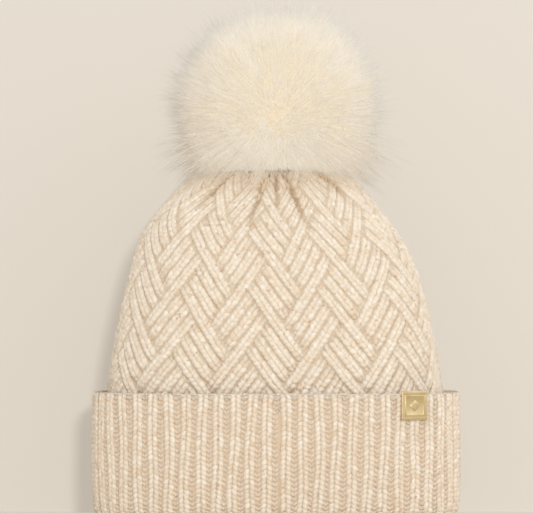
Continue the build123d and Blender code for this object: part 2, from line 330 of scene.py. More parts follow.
def cap_stitches():
    """Every stitch of the lattice, as (s, t, heading, distances from its cord's two ends), and the
    length of one lattice unit along a cord and across it."""
    unit_s = CAP.round / REPEATS / (2 * CELL_STEP)
    slope = np.arctan2(LATTICE_RISE, unit_s)
    unit_length = np.hypot(LATTICE_RISE, unit_s)
    lane = 2 * unit_s * LATTICE_RISE / unit_length
    rows = []
    for across in range(-1, REPEATS + 1):
        for up in range(-3, 14):
            ox, oy = CELL_STEP * across + CELL_RISE * up, -CELL_STEP * across + CELL_RISE * up
            for rising, cords in ((True, RISING), (False, FALLING)):
                heading = slope if rising else pi - slope
                for middle, start, end in cords:
                    count = int(round((end - start) * unit_length / CORD_ROW))
                    for k in range(count):
                        run = start + (end - start) * (k + 0.5) / count
                        x, y = (run, middle) if rising else (middle, run)
                        s = unit_s * ((x + ox) - (y + oy)) + LATTICE_SHIFT
                        t = LATTICE_RISE * ((x + ox) + (y + oy)) + LATTICE_LIFT
                        if 1.0 < t < CAP.total - BARE_CROWN and 0 <= s < CAP.round:
                            rows.append((s, t, heading, run - start, end - run))
    return np.array(rows), unit_length, lane


CAP = Wall(CAP_ROWS, side=1, leaning=True)
CUFF = Wall(CUFF_ROWS, side=-1)
FOLD_START = CAP.t_at(176)
FOLD_FULL = CAP.t_at(208)
LATTICE_SHIFT = 9.8       # round the cap, from the middle of the front
LATTICE_LIFT = CAP.t_at(CUFF_TOP) - 2.0
CREASE_DEPTH = 3.2
POM_SHADE = 22.0          # length over which the painted shadow of the pom deepens on the crown
# where a crease leaves the gather, its half width, share of the depth, reach down the cap and drift
CREASES = (
    (-9.0, 2.4, 1.1, 44.0, -9.0),
    (17.0, 2.6, 1.1, 44.0, 17.0),
    (4.0, 2.0, 1.0, 24.0, 2.0),
    (-60.0, 3.6, 0.8, 30.0, -9.0),
    (70.0, 3.6, 0.7, 26.0, 8.0),
    (150.0, 3.6, 0.9, 30.0, 5.0),
    (215.0, 3.2, 1.0, 34.0, 6.0),
    (262.0, 3.2, 1.0, 30.0, -4.0),
    (318.0, 3.2, 1.0, 34.0, -3.0),
    (390.0, 3.6, 0.9, 28.0, -6.0),
)


def knit_cap():
    """The lattice of knitted cords, in four quarters. A cord's ends tuck under its neighbours."""
    rows, unit_length, lane = cap_stitches()
    s, t, heading, from_start, to_end = rows.T
    squeeze = np.interp(t, CAP.length, CAP.rows[:, 1]) / CAP.rows[0, 1]
    most_tuck, tuck_reach = 1.5, 3.6
    legs = []
    for side in (-1, 1):
        end = np.minimum(from_start, to_end) * unit_length
        tucked = np.exp(-((end / tuck_reach) ** 2))
        jitter = rng.normal(0, 1, (5, len(s)))
        shift = side * lane * 0.18
        cs = s + shift * np.sin(heading) + 0.12 * jitter[0]
        ct = t - shift * np.cos(heading) + 0.15 * jitter[1]
        size = (
            lane * 0.315 * (1 + 0.04 * jitter[2]),
            1.5 * (1 + 0.05 * jitter[3]),
            CORD_ROW * 1.15 * (1 + 0.06 * jitter[4]),
        )
        height = -1.5 - most_tuck * tucked + 0.12 * jitter[1] - 0.5 * (1 - squeeze)
        placed = lay_stitches(CAP, cs, ct, heading, size, height, side * lane * 0.06, 0.7, cap_relief)
        tone = np.clip(0.5 + 0.18 * jitter[0] + 0.1 * jitter[3], 0, 1)
        # painted shadow of the pom: the crown darkens over the last stretch below it
        painted_pom_shadow = 0.5 * np.clip((ct - FOLD_FULL + POM_SHADE - 2.0) / POM_SHADE, 0, 1)
        # painted shade in the depth attribute: darker where cord ends tuck under their neighbours and in the
        # crown's creases, with the pom's painted shadow
        depth = np.clip(0.36 * tucked + 1.5 * creased(cs, ct) + painted_pom_shadow, 0, 1)
        legs.append((placed, tone, depth, cs))
    return quarter_pieces("knit_cords", CAP, legs)


RIB_START = 5.6           # of the first row of the rib, below the chained edge


def rib_stitches():
    """The cuff's rib: two legs to a stitch on the raised columns, small arcs in the recesses."""
    pitch = CUFF.round / RIB_COLUMNS
    rows = int((CUFF.total - 7.0) / RIB_ROW)
    number, row = np.meshgrid(np.arange(RIB_COLUMNS), np.arange(rows), indexing="ij")
    number, row = number.ravel(), row.ravel()
    t = RIB_START + (row + 0.5) * RIB_ROW
    sway = 1.1 * np.sin(t * 0.035 + number * 0.35) + 0.5 * np.sin(t * 0.09 + number * 1.9)
    s = (number + 0.5) * pitch + sway
    legs = []
    for side in (-1, 1):
        jitter = rng.normal(0, 1, (5, len(s)))
        size = (
            1.92 * (1 + 0.05 * jitter[2]),
            1.45 * (1 + 0.05 * jitter[3]),
            RIB_ROW * 0.95 * (1 + 0.06 * jitter[4]),
        )
        cs = s + side * 1.64 + 0.1 * jitter[0]
        ct = t + 0.12 * jitter[1] + side * 0.25
        placed = lay_stitches(CUFF, cs, ct, pi / 2, size, -1.55 + 0.1 * jitter[1], side * 0.62, 0.85)
        tone = np.clip(0.5 + 0.18 * jitter[0] + 0.1 * jitter[3], 0, 1)
        legs.append((placed, tone, np.zeros(len(s)), cs))
    for side in (-1, 1):
        jitter = rng.normal(0, 1, (5, len(s)))
        size = (0.95, 0.95, 2.0 * (1 + 0.06 * jitter[4]))
        cs = s + pitch / 2 + side * 0.86
        ct = t + 0.1 * jitter[1] + RIB_ROW / 2
        heading = pi / 2 + side * radians(42)
        placed = lay_stitches(CUFF, cs, ct, heading, size, -2.0 + 0.1 * jitter[1], dip=0.6)
        # painted shade: the arcs in the recesses get a lower tone and 0.3 of the depth attribute, so they
        # read darker
        tone = np.clip(0.42 + 0.15 * jitter[0], 0, 1)
        legs.append((placed, tone, np.full(len(s), 0.3), cs))
    return quarter_pieces("rib_stitches", CUFF, legs)


def ring_mesh(name, points, side=1):
    """A closed tube from a grid of points, the first way round the hat and the second round its section."""
    around, n, _ = points.shape
    i, j = np.meshgrid(np.arange(around), np.arange(n), indexing="ij")
    a = i * n + j
    b = (i + 1) % around * n + j
    c = (i + 1) % around * n + (j + 1) % n
    d = i * n + (j + 1) % n
    corners = np.stack([a, b, c, d], -1).reshape(-1, 4)
    if side < 0:
        corners = corners[:, ::-1]
    return new_piece(name, points.reshape(-1, 3), corners.ravel(), np.full(len(corners), 4))


def cap_base():
    """The cloth behind the cords, from the rib to the gather, sunk where the knit is creased."""
    s = np.linspace(0, CAP.round, 360, endpoint=False)
    front_t = np.arange(0.5, CAP.total - 0.5, 2.0)
    back_t = front_t[::-3]
    ss, tt = np.meshgrid(s, front_t, indexing="ij")
    front = CAP.at(ss, tt, np.maximum(cap_relief(ss, tt) - 2.3, -4.3))
    ss, tt = np.meshgrid(s, back_t, indexing="ij")
    back = CAP.at(ss, tt, np.full(ss.shape, -4.75))
    points = np.concatenate([front, back], 1)
    points[..., 2] = np.maximum(points[..., 2], KNIT_START)
    return ring_mesh("cap_cloth", points)


# height, and depth under the cuff's widest line, of the doubled cloth's section
CUFF_SECTION = (
    (75.6, 2.4),
    (40.0, 2.0),
    (12.0, 2.4),
    (5.0, 4.4),
    (3.4, 7.0),
    (5.2, 9.6),
    (12.0, 10.6),
    (24.0, 11.6),
    (30.0, 13.0),
    (KNIT_START, 14.3),
    (KNIT_START, 9.7),
    (20.0, 7.3),
    (8.0, 7.0),
    (7.0, 6.5),
    (8.0, 6.0),
    (40.0, 5.6),
    (74.6, 5.4),
    (76.4, 4.2),
)


def cuff_base():
    """The doubled cloth behind the ribs, with the gap between its layers."""
    height, under = np.array(CUFF_SECTION).T
    wide = CUFF_WIDTH - under
    turn = np.linspace(0, CAP.round, 240, endpoint=False)
    x = np.interp(turn, CAP.ring_s, CAP.ring_x)[:, None] * wide
    y = np.interp(turn, CAP.ring_s, CAP.ring_y)[:, None] * (wide - DEPTH_STEP)
    return ring_mesh("cuff_cloth", np.stack([x, y, np.broadcast_to(height, x.shape)], -1), side=-1)


def cast_on_edge():
    """The smooth chained edge along the top of the cuff."""
    count = RIB_COLUMNS * 4
    pitch = CUFF.round / count
    s = (np.arange(count) + 0.5) * pitch
    ripple = 0.25 * np.sin(s / (CUFF.round / RIB_COLUMNS) * tau)
    placed, tones = [], []
    for lane, t in enumerate((1.2, 3.4, 5.4)):
        jitter = rng.normal(0, 1, (4, count))
        size = (1.25, 1.35, pitch * 0.95 * (1 + 0.05 * jitter[0]))
        heading = radians(14 if lane % 2 else -14)
        ct = t + 0.12 * jitter[1] + ripple
        height = -1.5 + 0.08 * jitter[2]
        placed.append(lay_stitches(CUFF, s + lane * pitch / 2, ct, heading, size, height, dip=0.5))
        tones.append(np.clip(0.5 + 0.15 * jitter[3], 0, 1))
    tone = np.concatenate(tones)
    return knit_piece("cast_on_edge", np.concatenate(placed), tone, np.zeros(len(tone)))


# ---- materials ----

FLOAT, COLOUR, VECTOR = "NodeSocketFloat", "NodeSocketColor", "NodeSocketVector"


def node(tree, kind, place, **settings):
    """A node at a place, with its own settings by keyword."""
    made = tree.nodes.new(kind)
    made.location = place
    for key, value in settings.items():
        setattr(made, key, value)
    return made


def colour(hex_code):
    """A linear colour from an sRGB hex code."""
    parts = [int(hex_code[i : i + 2], 16) / 255 for i in (0, 2, 4)]
    return tuple((c / 12.92 if c <= 0.04045 else ((c + 0.055) / 1.055) ** 2.4) for c in parts) + (1.0,)


def feed(tree, target, value):
    """Feeds a socket from another socket, an sRGB hex code or a plain value."""
    if isinstance(value, bpy.types.NodeSocket):
        tree.links.new(value, target)
    else:
        target.default_value = colour(value) if isinstance(value, str) else value


def feed_all(tree, made, values):
    """Feeds a node's named sockets."""
    for key, value in values.items():
        feed(tree, made.inputs[key], value)


def noise_at(tree, vector, scale, detail, place):
    """A noise over a vector."""
    made = node(tree, "ShaderNodeTexNoise", place)
    feed_all(tree, made, {"Vector": vector, "Scale": scale, "Detail": detail})
    return made.outputs["Fac"]


def spread(tree, value, low, high, place, to=(0.0, 1.0)):
    """A value's range from low to high, stretched to another."""
    made = node(tree, "ShaderNodeMapRange", place)
    values = {"Value": value, "From Min": low, "From Max": high, "To Min": to[0], "To Max": to[1]}
    feed_all(tree, made, values)
    return made.outputs["Result"]


def sums(tree, kind, first, second, place):
    """Two values worked into one; either may be a plain number."""
    made = node(tree, "ShaderNodeMath", place, operation=kind)
    feed(tree, made.inputs[0], first)
    feed(tree, made.inputs[1], second)
    return made.outputs[0]


def blend(tree, share, first, second, place):
    """A colour between two, whose sockets are the sixth and seventh of the node."""
    made = node(tree, "ShaderNodeMix", place, data_type="RGBA")
    feed(tree, made.inputs["Factor"], share)
    feed(tree, made.inputs[6], first)
    feed(tree, made.inputs[7], second)
    return made.outputs[2]


def raised(tree, height, strength, distance, place):
    """A normal that follows a height."""
    made = node(tree, "ShaderNodeBump", place)
    feed_all(tree, made, {"Height": height, "Strength": strength, "Distance": distance})
    return made.outputs["Normal"]


def attribute(tree, name, place):
    """A value that the mesh's points carry."""
    return node(tree, "ShaderNodeAttribute", place, attribute_name=name).outputs["Fac"]


def heathered_yarn():
    """Spun yarn: fibres along the strand, heather, stray flecks, and painted shade in its recesses by the
    depth attribute.
    """
    group = bpy.data.node_groups.new("heathered yarn", "ShaderNodeTree")
    for key in ("Light", "Shade", "Painted shade", "Fleck"):
        group.interface.new_socket(key, in_out="INPUT", socket_type=COLOUR)
    for key in ("Fleck share", "Bump"):
        group.interface.new_socket(key, in_out="INPUT", socket_type=FLOAT)
    for key, kind in (("Color", COLOUR), ("Roughness", FLOAT), ("Normal", VECTOR)):
        group.interface.new_socket(key, in_out="OUTPUT", socket_type=kind)
    given = node(group, "NodeGroupInput", (-1100, 0)).outputs
    out = node(group, "NodeGroupOutput", (900, 0))
    uv = node(group, "ShaderNodeUVMap", (-1100, -300), uv_map="yarn")
    stretch = node(group, "ShaderNodeMapping", (-900, -300))
    turned = {"Vector": uv.outputs["UV"], "Scale": (9.0, 2.2, 1.0), "Rotation": (0, 0, radians(24))}
    feed_all(group, stretch, turned)
    tone = attribute(group, "tone", (-1100, -560))
    apart = node(group, "ShaderNodeCombineXYZ", (-700, -560))
    feed(group, apart.inputs["Z"], sums(group, "MULTIPLY", tone, 37.0, (-900, -560)))
    moved = node(group, "ShaderNodeVectorMath", (-700, -300), operation="ADD")
    feed(group, moved.inputs[0], stretch.outputs["Vector"])
    feed(group, moved.inputs[1], apart.outputs["Vector"])
    fibre = noise_at(group, moved.outputs["Vector"], 1.0, 4.0, (-500, -300))
    where = node(group, "ShaderNodeTexCoord", (-1100, 400)).outputs["Object"]
    heather = noise_at(group, where, 520.0, 3.0, (-700, 300))
    spots = noise_at(group, where, 300.0, 1.0, (-700, 560))
    both = sums(group, "ADD", fibre, heather, (-500, 100))
    toned = sums(group, "ADD", both, tone, (-320, 100))
    share = spread(group, toned, 1.0, 2.0, (-140, 100))
    body = blend(group, share, given["Shade"], given["Light"], (60, 200))
    fleck_at = spread(group, spots, 0.66, 0.74, (-320, 560))
    fleck = sums(group, "MULTIPLY", fleck_at, given["Fleck share"], (-140, 420))
    flecked = blend(group, fleck, body, given["Fleck"], (260, 260))
    # painted shade: a darker colour mixed in where the depth attribute marks tucked cord ends, creases, the
    # rib's recesses and the pom's shadow
    painted_shade = sums(group, "MULTIPLY", attribute(group, "depth", (-140, -160)), 0.75, (60, -100))
    feed(group, out.inputs["Color"], blend(group, painted_shade, flecked, given["Painted shade"], (460, 200)))
    feed(group, out.inputs["Roughness"], spread(group, fibre, 0.2, 0.8, (460, -60), (0.78, 0.95)))
    feed(group, out.inputs["Normal"], raised(group, fibre, given["Bump"], 0.0009, (460, -300)))
    return group


YARN = heathered_yarn()


def principled(name):
    """A new material, its node tree and its shader."""
    material = bpy.data.materials.new(name)
    material.use_nodes = True
    return material, material.node_tree, material.node_tree.nodes["Principled BSDF"]


def yarn_material(name, light, shade, painted_shade, bump=0.6):
    """Yarn of two shades and a colour for painted shade, with a few pink-brown flecks, which lets a little
    light into itself.
    """
    material, tree, shader = principled(name)
    group = node(tree, "ShaderNodeGroup", (-400, 200), node_tree=YARN)
    shades = {"Light": light, "Shade": shade, "Painted shade": painted_shade, "Fleck": "B98F80"}
    feed_all(tree, group, shades | {"Fleck share": 0.5, "Bump": bump})
    finish = {
        "Base Color": group.outputs["Color"],
        "Roughness": group.outputs["Roughness"],
        "Normal": group.outputs["Normal"],
        "Sheen Weight": 0.25,
        "Sheen Roughness": 0.5,
        "Sheen Tint": "FFF4E4",
        "Specular IOR Level": 0.2,
        "Subsurface Weight": 0.35,
        "Subsurface Radius": (1.0, 0.85, 0.7),
        "Subsurface Scale": 0.002,
    }
    feed_all(tree, shader, finish)
    return material


def object_place(tree, stretch=(1.0, 1.0, 1.0)):
    """Object coordinates, stretched along the axes."""
    where = node(tree, "ShaderNodeTexCoord", (-1100, 0))
    mapping = node(tree, "ShaderNodeMapping", (-900, 0))
    feed_all(tree, mapping, {"Vector": where.outputs["Object"], "Scale": stretch})
    return mapping.outputs["Vector"]


def grained(
    name, first, second, scale, roughness, bump, distance, stretch=(1.0, 1.0, 1.0), metallic=0.0, sheen=0.0
):
    """A material that drifts between two colours, with roughness and bump from the same grain."""
    material, tree, shader = principled(name)
    grain = noise_at(tree, object_place(tree, stretch), scale, 4.0, (-700, 0))
    drift = spread(tree, grain, 0.3, 0.7, (-500, 200))
    rough = (roughness - 0.08, roughness + 0.08)
    finish = {
        "Base Color": blend(tree, drift, first, second, (-300, 200)),
        "Roughness": spread(tree, grain, 0.2, 0.8, (-300, -60), rough),
        "Normal": raised(tree, grain, bump, distance, (-300, -300)),
        "Metallic": metallic,
        "Sheen Weight": sheen,
    }
    feed_all(tree, shader, finish)
    return material


def fur_material():
    """Long silky pile: warm at the root, ivory along its length, taupe tips by the guard attribute, which
    holds the guard hairs' own dark tips and painted shade at the pom's sides, left and underside.
    """
    material, tree, shader = principled("fur pile")
    along = attribute(tree, "along", (-1000, 200))
    tone = attribute(tree, "tone", (-1000, 0))
    guard = attribute(tree, "guard", (-1000, -200))
    pile = blend(tree, spread(tree, along, 0.3, 0.85, (-760, 200)), "F1E3C8", "FEFAF2", (-560, 200))
    warm = blend(tree, tone, pile, "FBF1DA", (-360, 200))
    dark = sums(tree, "MULTIPLY", spread(tree, along, 0.5, 0.9, (-760, -100)), guard, (-560, -100))
    finish = {
        "Base Color": blend(tree, dark, warm, "87715F", (-160, 150)),
        "Roughness": 0.55,
        "Specular IOR Level": 0.25,
        "Sheen Weight": 0.9,
        "Sheen Roughness": 0.5,
    }
    feed_all(tree, shader, finish)
    return material


def gold_material():
    """Satin gold plate, brushed one way, a little darker where it is handled."""
    material, tree, shader = principled("brushed gold")
    grain = noise_at(tree, object_place(tree, (1.0, 1.0, 0.06)), 1400.0, 3.0, (-700, 0))
    cloud_place = node(tree, "ShaderNodeTexCoord", (-900, 400)).outputs["Object"]
    cloud = noise_at(tree, cloud_place, 130.0, 2.0, (-700, 400))
    finish = {
        "Base Color": blend(tree, cloud, "C9AB72", "EFE2BC", (-300, 200)),
        "Roughness": spread(tree, grain, 0.3, 0.7, (-300, -60), (0.26, 0.42)),
        "Normal": raised(tree, grain, 0.25, 0.0001, (-300, -300)),
        "Metallic": 1.0,
    }
    feed_all(tree, shader, finish)
    return material


# the fourth colour of each yarn is painted shade, mixed in where the depth attribute marks it
BODY_YARN = yarn_material("cream lattice yarn", "F6ECDD", "E2D0B9", "A3855F")
RIB_YARN = yarn_material("cream rib yarn", "F5EADB", "E1CEB7", "C7A993")
CLOTH = yarn_material("cloth behind the cords", "E8D8C1", "DBC5A9", "C4AB90", bump=0.3)
FLEECE = grained("fleece", "EADCC8", "D9C7AE", 900.0, 0.88, 0.8, 0.0009, sheen=0.5)
UNDERFUR = grained("underfur", "EADDC5", "DDCFB3", 700.0, 0.9, 0.5, 0.0006, sheen=0.3)
THREAD = grained("sewing thread", "E6D8C2", "C9B699", 1500.0, 0.6, 0.4, 0.0002)
FELT = grained("felt", "CDBBA2", "B5A084", 700.0, 0.88, 0.6, 0.0004, sheen=0.3)
WOVEN = grained("woven label", "E3D6C1", "D2C2A8", 2500.0, 0.6, 0.5, 0.0002, stretch=(1.0, 1.0, 3.0))
SATIN = grained("satin label", "F4F0E8", "E7E1D5", 1800.0, 0.35, 0.15, 0.0001, stretch=(4.0, 1.0, 0.4))
STUFFING = grained("fibre filling", "F2EFEA", "DDD8CF", 300.0, 0.88, 0.8, 0.002)
SNAP_METAL = grained("nickelled brass", "C9C2B2", "B3AA97", 400.0, 0.25, 0.05, 0.0001, metallic=1.0)
STEEL = grained("steel", "B9B9B7", "A2A2A0", 600.0, 0.35, 0.1, 0.0001, metallic=1.0)
GOLD = gold_material()
FUR = fur_material()


def finish_piece(ob, body, slot, material, *replaced):
    """Gives a piece its material and body, and hides the parts that it stands for; its slot is not used."""
    ob.data.materials.clear()
    ob.data.materials.append(material)
    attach(ob, body)
    if replaced:
        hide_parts(*replaced)


# ---- fur pom ----

POM_MIDDLE = np.array((0.5, 0.0, 257.0))
POM_RADIUS = 67.0
POM_SQUASH = 0.92         # of the pom's height
CORE_MIDDLE = np.array((0.0, 0.0, 242.0))
CORE_RADIUS = 26.0        # of the filling, where the hairs are rooted
LOCKS = 620
HAIRS = 21600
GUARD_HAIRS = 6800
SKIRT_HAIRS = 3600
STRAND_RINGS = 4          # of a hair, before its tip
LOWEST_WAY = -0.68        # down part of the lowest hair's direction
GOLDEN_TURN = 2.399963    # between one direction and the next, radians
UNDERFUR_SHARE = 0.72     # of the way from the core's middle to the pom's outline
COMBING = 0.42
# the crown's height by distance from its middle
CROWN_REACH = (0, 20, 37, 45, 54, 65.5, 77)
CROWN_HEIGHT = (205.5, 207.5, 212, 210, 204, 192, 176)
# where the pile parts, low on the front and on the back
PARTINGS = (np.array((0.0, -0.93, -0.37)), np.array((0.15, 0.94, -0.30)))


def turning_floor(points):
    """Height above which a hair clears the crown however the pom is turned on its stud."""
    return np.interp(0.95 * np.hypot(points[..., 0], points[..., 1]), CROWN_REACH, CROWN_HEIGHT)


def directions(count, highest=1.0):
    """Even directions over the part of a sphere that carries hair."""
    z = highest - (np.arange(count) + 0.5) / count * (highest - LOWEST_WAY)
    turn = np.arange(count) * GOLDEN_TURN
    flat = np.sqrt(1 - z**2)
    return np.stack([flat * np.cos(turn), flat * np.sin(turn), z], -1)


def unit(v):
    """Vectors made one long."""
    return v / np.linalg.norm(v, axis=-1, keepdims=True)


def reach_out(root, way, radius):
    """Distance along a way from a root to the pom's outline."""
    off = root - POM_MIDDLE
    b = (off * way).sum(-1)
    return -b + np.sqrt(np.maximum(b**2 - (off**2).sum(-1) + radius**2, 1.0))


def comb(way):
    """How far hairs are brushed aside, away from the partings."""
    drift = np.zeros_like(way)
    for parting in PARTINGS:
        turn = np.clip((way * parting).sum(-1, keepdims=True), -1, 1)
        away = unit(way - turn * parting + 1e-6)
        drift += away * (np.sqrt(1 - turn**2) * np.exp(-(((1 - turn) / 0.75) ** 2)))
    return drift


def crowd(way):
    """Roots drawn in toward the partings, so that the pile brushed away from them stays dense."""
    for parting in PARTINGS:
        near = np.exp(-(((1 - (way * parting).sum(-1, keepdims=True)) / 0.5) ** 2))
        way = unit(way + 0.4 * near * parting)
    return way


def tip_dark_and_shade(aim):
    """How far a hair's tip darkens: partly the guard hairs' own dark tips, partly painted shade, most at the
    sides, on the left and low down, least on top.
    """
    return 0.15 + 0.45 * np.abs(aim[:, 0]) - 0.12 * aim[:, 0] - 0.28 * aim[:, 2]


def hair_lines(count, gather, spread_by, length_low, length_high, highest=1.0):
    """Centre lines of hairs that lean together into locks, with each one's lock and direction."""
    way = crowd(unit(directions(count, highest) + rng.normal(0, 0.05, (count, 3))))
    nearest = np.argmax(way @ LOCK_WAYS.T, axis=1)
    lock = LOCK_WAYS[nearest]
    root = CORE_MIDDLE + way * CORE_RADIUS
    aim = unit(way * (1 - gather) + lock * gather + rng.normal(0, spread_by, (count, 3)))
    share = rng.uniform(length_low, length_high, count)
    length = reach_out(root, aim, POM_RADIUS) * share * LOCK_LENGTH[nearest]
    curl = rng.normal(0, 0.10, (count, 3)) + LOCK_CURL[nearest] + COMBING * comb(way)
    curl[:, 2] -= 0.05 + 0.75 * np.clip(0.2 - way[:, 2], 0, 1)
    v = np.linspace(0, 1, STRAND_RINGS + 1)[None, :, None]
    line = root[:, None] + length[:, None, None] * (v * aim[:, None] + v**2 * curl[:, None] * 0.5)
    far = np.linalg.norm(line - POM_MIDDLE, axis=-1)
    most = POM_RADIUS * (share * LOCK_LENGTH[nearest] * (1 + 0.24 * np.clip(-way[:, 2], 0, 1)))[:, None]
    pull = np.where(far > most, most / np.maximum(far, 1), 1.0)[..., None]
    line = POM_MIDDLE + (line - POM_MIDDLE) * pull * np.array((1, 1, POM_SQUASH))
    floor = turning_floor(line) + rng.uniform(0.9, 3.2, (count, 1))
    line[..., 2] += np.maximum(floor - line[..., 2], 0)
    return line, nearest, aim


def strand_mesh(name, line, thick, tone, guard):
    """Three-sided tapering strands, closed at both ends, along their centre lines."""
    count, stations, _ = line.shape
    rings = stations - 1
    ahead = unit(np.gradient(line, axis=1))
    side = unit(np.cross(ahead, rng.normal(0, 1, (count, 1, 3))))
    up = np.cross(ahead, side)
    v = np.linspace(0, 1, stations)[:rings]
    radius = thick[:, None] * (0.75 + 0.25 * np.sin(v * pi)) * (1 - v) ** 0.55
    corners = []
    for k in range(3):
        out = cos(k * tau / 3) * side[:, :rings] + sin(k * tau / 3) * up[:, :rings]
        corners.append(line[:, :rings] + radius[..., None] * out)
    body = np.stack(corners, 2).reshape(count, rings * 3, 3)
    points = np.concatenate([body, line[:, -1:]], 1)
    sides = ((0, 1), (1, 2), (2, 0))
    quads = [(r + k, r + m, r + 3 + m, r + 3 + k) for r in range(0, rings * 3 - 3, 3) for k, m in sides]
    last = rings * 3 - 3
    ends = [(last + k, last + m, rings * 3) for k, m in sides] + [(2, 1, 0)]
    loops = np.concatenate([np.ravel(quads), np.ravel(ends)])
    sizes = np.concatenate([np.full(len(quads), 4), np.full(len(ends), 3)])
    per = rings * 3 + 1
    all_loops = (loops[None] + per * np.arange(count)[:, None]).ravel()
    along = np.concatenate([np.repeat(v, 3), [1.0]])
    values = {
        "along": np.tile(along, count),
        "tone": np.repeat(tone, per),
        "guard": np.repeat(guard, per),
    }
    return new_piece(name, points.reshape(-1, 3), all_loops, np.tile(sizes, count), values=values)


LOCK_WAYS = crowd(unit(directions(LOCKS) + rng.normal(0, 0.06, (LOCKS, 3))))
LOCK_LENGTH = rng.uniform(0.9, 1.04, LOCKS)
LOCK_CURL = rng.normal(0, 0.13, (LOCKS, 3))
LOCK_TONE = rng.uniform(0, 1, LOCKS)


def pom_pieces():
    """The pile in four parts, the long guard hairs with dark tips, and the low hairs over the crown."""
    made = []
    for part in range(4):
        count = HAIRS // 4
        line, lock, aim = hair_lines(count, 0.45, 0.06, 0.90, 1.03)
        tone = np.clip(0.7 * LOCK_TONE[lock] + rng.uniform(0, 0.3, count), 0, 1)
        thick = rng.uniform(0.17, 0.28, count)
        # painted shade on the pile's tips at the sides, on the left and underneath
        dark = np.clip(0.5 * tip_dark_and_shade(aim) - 0.1, 0, 1)
        made.append(strand_mesh(f"pom_pile_{part + 1}", line, thick, tone, dark))
    line, _, aim = hair_lines(GUARD_HAIRS, 0.3, 0.13, 0.98, 1.17)
    thick = rng.uniform(0.09, 0.15, GUARD_HAIRS)
    # the guard hairs' tips: their own dark tips, with painted shade at the sides, on the left and underneath
    dark = np.clip(1.5 * tip_dark_and_shade(aim) - 0.15 + rng.normal(0, 0.2, GUARD_HAIRS), 0, 1)
    made.append(strand_mesh("pom_guard_hairs", line, thick, rng.uniform(0, 0.5, GUARD_HAIRS), dark))
    line, _, _ = hair_lines(SKIRT_HAIRS, 0.4, 0.14, 1.05, 1.42, highest=-0.2)
    thick = rng.uniform(0.12, 0.2, SKIRT_HAIRS)
    # painted shade under the pom: the low hairs are warmer and their tips are darkened at random
    dark = rng.uniform(0.1, 0.45, SKIRT_HAIRS)
    made.append(strand_mesh("pom_skirt_hairs", line, thick, rng.uniform(0.5, 1.0, SKIRT_HAIRS), dark))
    return made


def underfur_shape(way):
    """The dense part of the pile, which no light gets through."""
    depth = reach_out(CORE_MIDDLE, way, POM_RADIUS) * UNDERFUR_SHARE
    spot = POM_MIDDLE + (CORE_MIDDLE + way * depth[:, None] - POM_MIDDLE) * np.array((1, 1, POM_SQUASH))
    spot[:, 2] = np.maximum(spot[:, 2], turning_floor(spot) + 0.8)
    return spot


def filling_shape(way):
    """The fibre ball inside the pom, a little lumpy."""
    x, y, z = way.T
    lumps = np.sin(x * 7 + 1) * np.sin(y * 6) * np.sin(z * 8 + 2)
    lumps += 0.5 * np.sin(x * 15) * np.sin(y * 17 + 1) * np.sin(z * 13)
    return CORE_MIDDLE + way * (CORE_RADIUS - 0.8 + 0.5 * lumps)[:, None]


# ---- plied yarn and thread ----

def frame_along(line, closed):
    """The ways to the side and up at each point of a line."""
    ahead = unit(np.roll(line, -1, 0) - np.roll(line, 1, 0) if closed else np.gradient(line, axis=0))
    across = np.array((0.0, 0.0, 1.0)) if np.abs(ahead[:, 2]).max() < 0.9 else np.array((0.6, 0.8, 0.0))
    side = unit(np.cross(ahead, across))
    return side, np.cross(side, ahead)


def strand_tube(line, radius, closed, segments=6):
    """A round strand along a line of points: its points, corners, face sizes and UVs."""
    n = len(line)
    side, up = frame_along(line, closed)
    turn = np.arange(segments) / segments * tau
    radius = np.broadcast_to(radius, (n,))
    ring = np.cos(turn)[None, :, None] * side[:, None] + np.sin(turn)[None, :, None] * up[:, None]
    points = line[:, None] + radius[:, None, None] * ring
    faces, uv = [], []
    long = length_along(line) / 8.0
    for i in range(n if closed else n - 1):
        j = (i + 1) % n
        v0, v1 = long[i], long[j] if j else long[i] + (long[1] - long[0])
        for k in range(segments):
            m = (k + 1) % segments
            faces.append((i * segments + k, j * segments + k, j * segments + m, i * segments + m))
            u0, u1 = k / segments, (k + 1) / segments
            uv += [(u0, v0), (u0, v1), (u1, v1), (u1, v0)]
    if not closed:
        faces.append(tuple(range(segments)))
        faces.append(tuple((n - 1) * segments + k for k in reversed(range(segments))))
        uv += [(0.5, 0.0)] * segments + [(0.5, long[-1])] * segments
    return points.reshape(-1, 3), faces, uv


def plied(name, lines, radius, closed=False, plies=2, twist=5.0):
    """Yarn or thread along lines of points, its plies wound round each other once in each twist."""
    points, loops, sizes, uvs, tones = [], [], [], [], []
    start = 0
    for line in lines:
        line = np.asarray(line, float)
        long = length_along(line)
        whole = long[-1] + (np.linalg.norm(line[0] - line[-1]) if closed else 0)
        turns = max(1, round(whole / twist)) if closed else whole / twist
        side, up = frame_along(line, closed)
        end = np.ones(len(line))
        if not closed:
            end = np.clip(np.minimum(long, whole - long) / (radius * 0.8), 0, 1) ** 0.5 * 0.85 + 0.15
        for ply in range(plies):
            phase = ply / plies * tau + long / whole * turns * tau
            off = radius * 0.46 * end
            path = line + off[:, None] * (np.cos(phase)[:, None] * side + np.sin(phase)[:, None] * up)
            ring, faces, uv = strand_tube(path, radius * 0.56 * end, closed)
            points.append(ring)
            loops += [k + start for face in faces for k in face]
            sizes += [len(face) for face in faces]
            uvs += uv
            tones.append(np.full(len(ring), rng.uniform(0.3, 0.7)))
            start += len(ring)
    tone = np.concatenate(tones)
    values = {"tone": tone, "depth": np.zeros(len(tone))}
    return new_piece(name, np.concatenate(points), loops, sizes, uvs, values)


def round_line(radius, z, count=160):
    """A level ring of points about the hat's middle."""
    turn = np.arange(count) / count * tau
    return np.stack([radius * np.cos(turn), radius * np.sin(turn), np.full(count, z)], -1)


